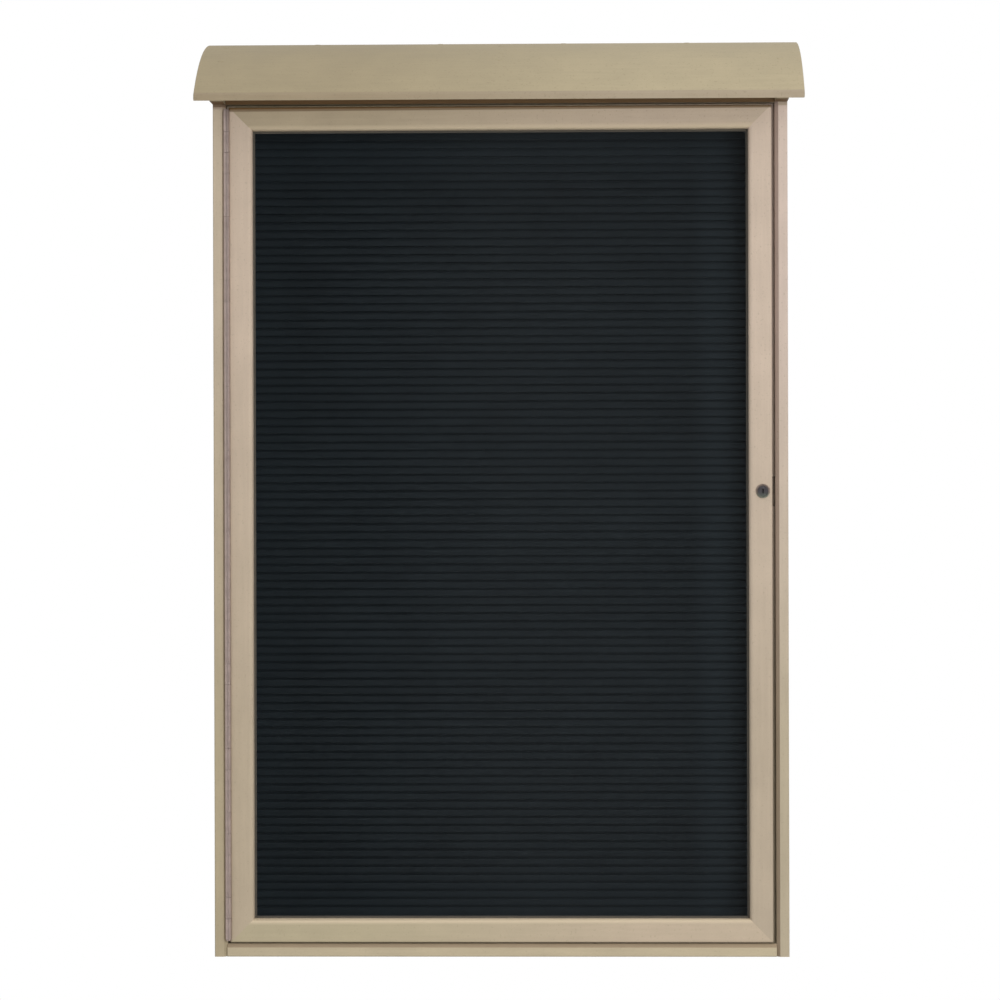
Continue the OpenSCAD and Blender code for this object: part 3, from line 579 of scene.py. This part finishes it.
# %% [markdown]
# Its finish is matt black with a breath of blue. A little dust lies on it in patches, and long faint
# streaks keep a wide dark area from looking painted by a machine. Its edges are a little greyer, most
# of all beside the lock: painted light that makes up for the shadow of the door frame on them.

# %% Matt black plastic
BLACKEST = (0.0085, 0.0116, 0.0150, 1.0)
DUSTIER = (0.0124, 0.0168, 0.0213, 1.0)
PAINTED_LIGHT_GREY = (0.0230, 0.0312, 0.0396, 1.0)
DUST_PATCHES_PER_M = 9.0
DUST_STREAKS_PER_M = 90.0
DRAWN_SIDEWAYS = (0.15, 1.0, 1.0)
PANEL_GRAIN_PER_M = 1400.0

# Each edge: its axis, where its painted light begins and where it is full, in mm, and how strong it is.
PAINTED_LIGHT_EDGES = [
    ("x", 272, 345, 1.0), ("x", -290, -345, 0.28), ("z", 480, 560, 0.40), ("z", -480, -560, 0.28),
]


def letter_panel_black():
    finish = Finish("letter_panel_black")
    wide = finish.stretched(finish.place, DRAWN_SIDEWAYS)
    dust = finish.ramp(finish.noise(finish.place, DUST_PATCHES_PER_M, 5.0, 0.6), 0.35, 0.7)
    streak = finish.ramp(finish.noise(wide, DUST_STREAKS_PER_M, 3.0), 0.35, 0.7)
    base = finish.blend(BLACKEST, DUSTIER, dust * 0.5 + streak * 0.5)
    # Painted light at the edges, which makes up for the shadow of the door frame on the panel.
    for axis, begins, complete, lift in PAINTED_LIGHT_EDGES:
        near = finish.ramp(finish.along(finish.place, axis), begins * MM, complete * MM)
        base = finish.blend(base, PAINTED_LIGHT_GREY, near * lift)
    skin = finish.relief(finish.noise(finish.place, PANEL_GRAIN_PER_M, 2.0), 0.25, 0.1 * MM)
    dull = 0.5 + dust * 0.12
    return finish.surface(Base_Color=base, Roughness=dull, Normal=skin, Specular_IOR_Level=0.15)


stands_for(panel, "letter_board", letter_panel_black())
print("panel finished")

# %% [markdown]
# ## The pane and the strip round it
# The pane is a clear sheet of plastic. Seen straight on it only shows by what it mirrors, and at a low
# angle it mirrors almost everything. That is Fresnel's law, so a Fresnel node mixes a clear shader with
# a mirror. A little dust raises the mirror's share unevenly. A clear shader doesn't bend light, so the
# far side of the sheet would turn into a full mirror at a low angle. It mirrors nothing, and the side
# where the light comes in mirrors for both.

# %% Clear pane
PANE_TINT = (0.97, 0.98, 0.975, 1.0)
PANE_IOR = 1.45
BOTH_SIDES = 1.9
DUST_MIRRORS = 0.008
PANE_DUST_PER_M = 6.0


def clear_pane():
    finish = Finish("clear_pane_sheet")
    dust = finish.ramp(finish.noise(finish.place, PANE_DUST_PER_M, 6.0, 0.65), 0.45, 0.8)
    clear = finish.node("BsdfTransparent", inputs={"Color": PANE_TINT})
    mirrored = finish.node("Fresnel", inputs={"IOR": PANE_IOR})
    outside = 1 - finish.node("NewGeometry", output="Backfacing")
    share = (mirrored * BOTH_SIDES + dust * DUST_MIRRORS) * outside
    finish.surface(Base_Color=(1.0, 1.0, 1.0, 1.0), Metallic=1.0, Roughness=0.02)
    mirror = Wire(finish, finish.shader.outputs[0])
    both = finish.node("MixShader", inputs={0: share, 1: clear, 2: mirror})
    finish.plug(finish.tree.nodes["Material Output"].inputs["Surface"], both)
    return finish.material


keeps_shape("glazing_panel", clear_pane())
print("pane finished")

# %% [markdown]
# A thin rubber strip lies between the pane and the door frame, and a few millimetres of it show. It is
# drawn as nested rectangles, one for each point of its section, so its corners are mitred and its
# inner edge is round. The seal that the door closes on is cut from foam tape with a round face.

# %% Rubber strips
# The strip's dark grey is its rubber and also painted shade of the frame's inner edge.
PANE_STRIP_SHADE_GREY = (0.066, 0.059, 0.049)
FOAM_GREY = (0.060, 0.058, 0.054)
BLOOM_PER_M = 40.0
RUBBER_GRAIN_PER_M = 1500.0


def dull_rubber(name, colour):
    finish = Finish(name)
    bloom = finish.ramp(finish.noise(finish.place, BLOOM_PER_M, 4.0, 0.6), 0.3, 0.7)
    base = finish.blend(shade(colour, 0.85), shade(colour, 1.2), bloom)
    skin = finish.relief(finish.noise(finish.place, RUBBER_GRAIN_PER_M, 2.0), 0.3, 0.1 * MM)
    return finish.surface(Base_Color=base, Roughness=0.62 + bloom * 0.15, Normal=skin)


def nested_frames(build, low, high, section):
    """Adds a mitred ring: each (inset, depth) of its section becomes one rectangle."""
    rings = []
    for inset, y in section:
        left, right = low.x + inset, high.x - inset
        bottom, top = low.z + inset, high.z - inset
        corners = [(left, y, bottom), (right, y, bottom), (right, y, top), (left, y, top)]
        rings.append([build.verts.new(corner) for corner in corners])
    for first, second in zip(rings, rings[1:] + rings[:1]):
        for i in range(4):
            j = (i + 1) % 4
            build.faces.new((first[i], first[j], second[j], second[i]))
    bmesh.ops.recalc_face_normals(build, faces=build.faces)


GASKET_WIDTH = 11.5 * MM
GASKET_LIP = ((0.7 * MM, 0), (0.2 * MM, 0.2 * MM), (0, 0.6 * MM))

gasket_low, gasket_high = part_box("glazing_gasket")
back, front = gasket_high.y, gasket_low.y
lip = [(GASKET_WIDTH - inset, front + depth) for inset, depth in GASKET_LIP]
section = [(0, back), (0, front)] + lip + [(GASKET_WIDTH, back)]
build = bmesh.new()
nested_frames(build, gasket_low, gasket_high, section)
gasket = piece_from("pane_strip", build)
stands_for(gasket, "glazing_gasket", dull_rubber("pane_strip_rubber", PANE_STRIP_SHADE_GREY))
print("pane strip:", len(gasket.data.polygons), "faces")

# %% Foam seal on the stops
SEAL_STEPS = 8
SEAL_FOOT = 0.35


def rounded_face(a_low, a_high, back, front):
    """A section with a flat back and a face that bulges towards the front."""
    middle, half = (a_low + a_high) / 2, (a_high - a_low) / 2
    turns = [math.pi * step / SEAL_STEPS for step in range(SEAL_STEPS + 1)]
    foot = back + (front - back) * SEAL_FOOT
    face = [(middle - half * math.cos(t), foot + (front - foot) * math.sin(t)) for t in turns]
    return [(a_low, back)] + face + [(a_high, back)]


def loose_boxes(node):
    """The box of each separate solid in a CAD node."""
    build = welded(node)
    met = set()
    boxes = []
    for first in build.verts:
        if first in met:
            continue
        met.add(first)
        wave = [first]
        low, high = first.co.copy(), first.co.copy()
        while wave:
            vert = wave.pop()
            for axis in range(3):
                low[axis] = min(low[axis], vert.co[axis])
                high[axis] = max(high[axis], vert.co[axis])
            near = [edge.other_vert(vert) for edge in vert.link_edges]
            near = [other for other in near if other not in met]
            met.update(near)
            wave += near
        boxes.append((low, high))
    build.free()
    return boxes


build = bmesh.new()
for low, high in loose_boxes("door_seal"):
    if high.z - low.z > high.x - low.x:
        extruded(build, rounded_face(low.x, high.x, high.y, low.y), "z", low.z, high.z)
    else:
        section = [(y, z) for z, y in rounded_face(low.z, high.z, high.y, low.y)]
        extruded(build, section, "x", low.x, high.x)
seal = stands_for(piece_from("foam_seal", build), "door_seal", dull_rubber("foam_seal_rubber", FOAM_GREY))
print("seal:", len(seal.data.polygons), "faces")

# %% [markdown]
# ## Metal parts
# Every metal part here is drawn, rolled or turned, and each of these leaves fine marks in one
# direction. The finish stretches a noise along that direction and lets it drive the roughness and a
# very shallow bump. The base colour only drifts a little, because metal shows its surroundings. The
# screws that hold the case's boards and the hood's ends are painted, so they look like the boards.

# %% Brushed metal
DRAWN = {"x": (0.03, 1.0, 1.0), "y": (1.0, 0.03, 1.0), "z": (1.0, 1.0, 0.03)}
LINES_PER_M = 1800.0
STAINS_PER_M = 60.0


def brushed_metal(name, colour, dullness, along):
    finish = Finish(name)
    drawn = finish.stretched(finish.place, DRAWN[along])
    lines = finish.ramp(finish.noise(drawn, LINES_PER_M, 4.0, 0.7), 0.3, 0.7)
    stain = finish.ramp(finish.noise(finish.place, STAINS_PER_M, 5.0, 0.6), 0.35, 0.75)
    base = finish.blend(shade(colour, 1.05), shade(colour, 0.82), stain * 0.7 + lines * 0.3)
    skin = finish.relief(lines, 0.2, 0.04 * MM)
    dull = dullness + stain * 0.12 + lines * 0.08
    return finish.surface(Base_Color=base, Metallic=1.0, Roughness=dull, Normal=skin)


HINGE_STEEL = (0.470, 0.380, 0.348)
PLAIN_STEEL = (0.560, 0.550, 0.530)
MILL_ALUMINIUM = (0.600, 0.600, 0.590)
RETAINERS = {"retainer_left": "z", "retainer_right": "z", "retainer_top": "x", "retainer_bottom": "x"}
RETAINER_EDGE = 0.3 * MM

hinge_finish = brushed_metal("hinge_satin_steel", HINGE_STEEL, dullness=0.50, along="z")
for node in ("hinge_case_leaf", "hinge_door_leaf", "hinge_pin"):
    keeps_shape(node, hinge_finish)
screw_finish = brushed_metal("screw_steel", PLAIN_STEEL, dullness=0.30, along="y")
for node, slot in SLOTS.items():
    if slot == "steel_screws":
        keeps_shape(node, screw_finish)
painted = plastic_lumber("screw_paint", SAND["left jamb"], "z", offset=50.0)
keeps_shape("case_screws", painted)
keeps_shape("hood_end_screws", painted)
for node, along in RETAINERS.items():
    metal = brushed_metal(node + "_aluminium", MILL_ALUMINIUM, dullness=0.35, along=along)
    stands_for(eased(node, RETAINER_EDGE), node, metal)
print("metal parts finished")

# %% [markdown]
# ## The key lock
# Only the lock's face shows when the door is shut: a plated collar with a dark plug in it. The collar
# and the threaded barrel behind it are one turned part, so they are lathed from one profile. The
# thread is drawn as rings, because at this pitch nobody sees that a real one climbs. The plating is
# brown, and below the middle it turns green as a painted reflection, so the finish changes with height.

# %% Turn the lock's barrel
THREAD_PITCH = 1.25 * MM
THREAD_DEPTH = 0.45 * MM
THREAD_R = 8 * MM
BORE_R = 6.0 * MM
RECESS_R = 7.3 * MM
RECESS_DEPTH = 1.25 * MM
RECESS_EDGE = 0.3 * MM
HEAD_EDGE = 0.7 * MM
HEAD_EDGE_HALFWAY = 0.21 * MM
PLAIN_SHANK = 1 * MM
PLATING_BROWN = (0.330, 0.265, 0.232)
PLATING_GREEN_REFLECTION = (0.230, 0.260, 0.215)
REFLECTION_BEGINS = 1 * MM
REFLECTION_FULL = 6 * MM
PATCHES_PER_M = 700.0

barrel_low, barrel_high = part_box("lock_barrel")
lock_x = (barrel_low.x + barrel_high.x) / 2
lock_z = (barrel_low.z + barrel_high.z) / 2
stile_low, stile_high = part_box("door_lock_stile")
stile_front = stile_low.y
head = stile_front - barrel_low.y
head_r = (barrel_high.x - barrel_low.x) / 2
tail = stile_front - barrel_high.y
thread_top = stile_front - stile_high.y + PLAIN_SHANK

profile = [
    (BORE_R, tail), (BORE_R, head - RECESS_DEPTH), (RECESS_R, head - RECESS_DEPTH),
    (RECESS_R, head - RECESS_EDGE), (RECESS_R + RECESS_EDGE, head), (head_r - HEAD_EDGE, head),
    (head_r - HEAD_EDGE_HALFWAY, head - HEAD_EDGE_HALFWAY), (head_r, head - HEAD_EDGE), (head_r, 0),
    (THREAD_R, 0), (THREAD_R, thread_top),
]
turn = thread_top
while turn - THREAD_PITCH > tail:
    profile += [(THREAD_R - THREAD_DEPTH, turn - THREAD_PITCH / 2), (THREAD_R, turn - THREAD_PITCH)]
    turn -= THREAD_PITCH
profile += [(THREAD_R - THREAD_DEPTH, tail), (BORE_R, tail)]


def aged_plating(name, colour, bloom, dullness):
    finish = Finish(name)
    # The colour passed as bloom is a painted reflection, which turns the lock green below its middle.
    reflection_mask = finish.ramp(finish.along(finish.place, "z"), lock_z - REFLECTION_BEGINS, lock_z - REFLECTION_FULL)
    patch = finish.ramp(finish.noise(finish.place, PATCHES_PER_M, 4.0, 0.6), 0.3, 0.7)
    base = finish.blend(shade(colour, 0.85), shade(colour, 1.15), patch)
    with_reflection = finish.blend(base, shade(bloom, 1.0), reflection_mask * (0.6 + patch * 0.4))
    pits = finish.relief(patch, 0.3, 0.05 * MM)
    dull = dullness + patch * 0.15
    return finish.surface(Base_Color=with_reflection, Metallic=1.0, Roughness=dull, Normal=pits)


build = bmesh.new()
facing_front = Matrix.Translation((lock_x, stile_front, lock_z)) @ Matrix.Rotation(math.pi / 2, 4, "X")
lathe(build, profile, steps=96, matrix=facing_front)
bmesh.ops.remove_doubles(build, verts=build.verts, dist=WELD)
bmesh.ops.recalc_face_normals(build, faces=build.faces)
barrel = stands_for(
    piece_from("lock_collar_and_barrel", build), "lock_barrel",
    aged_plating("lock_plating", PLATING_BROWN, PLATING_GREEN_REFLECTION, dullness=0.42)
)
print("barrel:", len(barrel.data.polygons), "faces, lock at", round(lock_x, 4), round(lock_z, 4))

# %% [markdown]
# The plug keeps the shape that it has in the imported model, with its key slot, but its edges are
# softened so that they catch the light. Its face is darker than the collar. The strike shows through
# the gap beside the door, and it is painted to match the board that it is screwed to.

# %% Plug, cam and strike
SMALL_EDGE = 0.2 * MM
SMALL_FACE_MM2 = 0.3
LOCK_ZINC = (0.560, 0.550, 0.500)
PLUG_NICKEL = (0.172, 0.160, 0.174)
PLUG_GREEN_REFLECTION = (0.235, 0.265, 0.235)

zinc = brushed_metal("lock_zinc", LOCK_ZINC, dullness=0.35, along="x")
SMALL_PIECES = {
    "lock_plug": aged_plating("lock_plug_nickel", PLUG_NICKEL, PLUG_GREEN_REFLECTION, dullness=0.38),
    "lock_nut": zinc, "lock_cam": zinc, "lock_cam_screw": zinc,
    "lock_strike": plastic_lumber("strike_paint", SAND["right jamb"], "z", offset=62.0),
}
for node, material in SMALL_PIECES.items():
    stands_for(eased(node, SMALL_EDGE, SMALL_FACE_MM2), node, material)
print("lock finished")

# %% [markdown]
# ## The floor
# The board hangs from a wall at reading height, so the floor lies well below it. No wall is built,
# because the back of the board has to be seen too. The eye sees a pale floor, but little light comes
# back from it, so the underside of the hood stays as dark as it is outdoors.

# %% Lay the floor
FLOOR_Z = -1.6
FLOOR_HALF = 4.0
FLOOR_BOUNCE = (0.26, 0.26, 0.25, 1.0)
FLOOR_PALE = (0.80, 0.80, 0.79, 1.0), (0.84, 0.84, 0.83, 1.0)
FLOOR_CLOUDS_PER_M = 1.5

build = bmesh.new()
bmesh.ops.create_grid(build, x_segments=8, y_segments=8, size=FLOOR_HALF)
bmesh.ops.translate(build, verts=build.verts, vec=(0, 0, FLOOR_Z))
floor = piece_from("floor", build)
finish = Finish("floor_plaster")
pale = finish.blend(*FLOOR_PALE, finish.noise(finish.place, FLOOR_CLOUDS_PER_M, 4.0))
floor.data.materials.append(finish.surface(
    Base_Color=finish.blend(FLOOR_BOUNCE, pale, finish.looked_at()), Roughness=0.8
))
print("floor at", FLOOR_Z)

# %% [markdown]
# ## Light
# The photograph was taken under soft daylight that is stronger from above and from the right. The
# world gives the even part. To the camera and to mirrors it is plain white, and everything else gets a
# softer share, so pale boards keep their colour. It is strongest overhead, where it lights the hood,
# and weakest from below. A broad lamp in front, a little to the right, lights the door under the hood,
# and a weak one on the left fills its shadows. The pane would mirror such a lamp as a white disc, so no
# mirror ray sees them. A lamp behind only lights the back of the board.

# %% World
BELOW, LEVEL, ABOVE = 0.17, 0.38, 1.00
RISE_TO_LEVEL = (-0.35, 0.05)
RISE_TO_ABOVE = (0.35, 0.75)
LEFT_SHARE, RIGHT_SHARE = 0.90, 1.10
DAYLIGHT = (1.0, 0.985, 0.955, 1.0)
WHITE = (1.0, 1.0, 1.0, 1.0)

world = bpy.data.worlds.new("soft_daylight")
bpy.context.scene.world = world
world.use_nodes = True
sky = Graph(world.node_tree)
way = sky.node("TexCoord", output="Generated")
up = sky.along(way, "z")
to_level = sky.ramp(up, *RISE_TO_LEVEL) * (LEVEL - BELOW)
to_above = sky.ramp(up, *RISE_TO_ABOVE) * (ABOVE - LEVEL)
to_right = sky.ramp(sky.along(way, "x"), -1.0, 1.0) * (RIGHT_SHARE - LEFT_SHARE)
strength = (BELOW + to_level + to_above) * (LEFT_SHARE + to_right)
soft = sky.node("Background", inputs={"Color": DAYLIGHT, "Strength": strength})
white = sky.node("Background", inputs={"Color": WHITE, "Strength": 1.0})
seen = sky.node("MixShader", inputs={0: sky.looked_at(), 1: soft, 2: white})
sky.plug(sky.tree.nodes["World Output"].inputs["Surface"], seen)
print("world light", BELOW, "to", ABOVE)

# %% Lamps
def soft_lamp(name, place, target, size, watts, colour):
    lamp = bpy.data.lights.new(name, "AREA")
    lamp.shape = "DISK"
    lamp.size = size
    lamp.energy = watts
    lamp.color = colour
    holder = bpy.data.objects.new(name, lamp)
    holder.location = place
    holder.rotation_euler = (Vector(target) - Vector(place)).to_track_quat("-Z", "Y").to_euler()
    holder.visible_camera = False
    holder.visible_glossy = False
    bpy.context.scene.collection.objects.link(holder)


soft_lamp("key_lamp", (1.3, -4.2, 0.35), (0, -0.1, 0), size=2.2, watts=122, colour=(1.0, 0.985, 0.95))
soft_lamp("fill_lamp", (-2.6, -3.6, 0.4), (0, -0.1, 0), size=2.0, watts=5, colour=(0.95, 0.98, 1.0))
soft_lamp("back_lamp", (0.9, 4.2, 0.1), (0, 0, 0), size=2.4, watts=70, colour=(1.0, 0.985, 0.96))
print("three lamps")

# %% [markdown]
# A pane shows whatever stands across from it. In a studio, a dark card is stood behind the camera so
# that the glass stays clear, and here its right part is a little lighter, which gives the soft edge
# that the photograph shows in the pane. Only mirror rays see the card.

# %% Card for the pane to mirror
CARD_Y = -6.5
CARD_EDGE_X = -0.46
CARD_BLUR = 0.26
CARD_RIGHT = 0.070
CARD_LEFT = 0.021
CARD_HALF = 3.0
CARD_MIDDLE_Z = 0.3

build = bmesh.new()
bmesh.ops.create_grid(build, x_segments=4, y_segments=4, size=CARD_HALF)
bmesh.ops.rotate(build, verts=build.verts, matrix=Matrix.Rotation(math.pi / 2, 3, "X"))
bmesh.ops.translate(build, verts=build.verts, vec=(0, CARD_Y, CARD_MIDDLE_Z))
card = piece_from("mirror_card", build)
finish = Finish("mirror_card_paper")
side = finish.ramp(finish.along(finish.place, "x"), CARD_EDGE_X - CARD_BLUR, CARD_EDGE_X + CARD_BLUR)
glow = finish.blend(shade((CARD_LEFT,) * 3, 1.0), shade((CARD_RIGHT,) * 3, 1.0), side)
card.data.materials.append(finish.surface(
    Base_Color=(0.0, 0.0, 0.0, 1.0), Roughness=1.0, Specular_IOR_Level=0.0,
    Emission_Color=glow, Emission_Strength=1.0
))
card.visible_camera = False
card.visible_diffuse = False
card.visible_transmission = False
card.visible_shadow = False
print("card at", CARD_Y)

# %% [markdown]
# ## The camera
# The photograph was taken from straight ahead with a long lens, at about the height of the board's
# middle and a little right of it. The edges of the case run almost upright, so the camera looks level.
# It turns a little towards the middle, a sideways shift of its frame does the rest, and a roll of 0.15
# degrees matches the slight lean of the picture.

# %% Place the camera
lens = bpy.data.cameras.new("camera")
lens.lens = 107.7
lens.sensor_width = 36.0
lens.shift_x = -0.0409
lens.shift_y = 0.0004
camera = bpy.data.objects.new("camera", lens)
camera.location = (0.142, -4.354, 0.0326)
camera.rotation_euler = (math.radians(90), math.radians(0.15), math.radians(1.15))
bpy.context.scene.collection.objects.link(camera)
bpy.context.scene.camera = camera
bpy.context.scene.view_settings.view_transform = "Standard"
print("camera at", [round(v, 3) for v in camera.location])
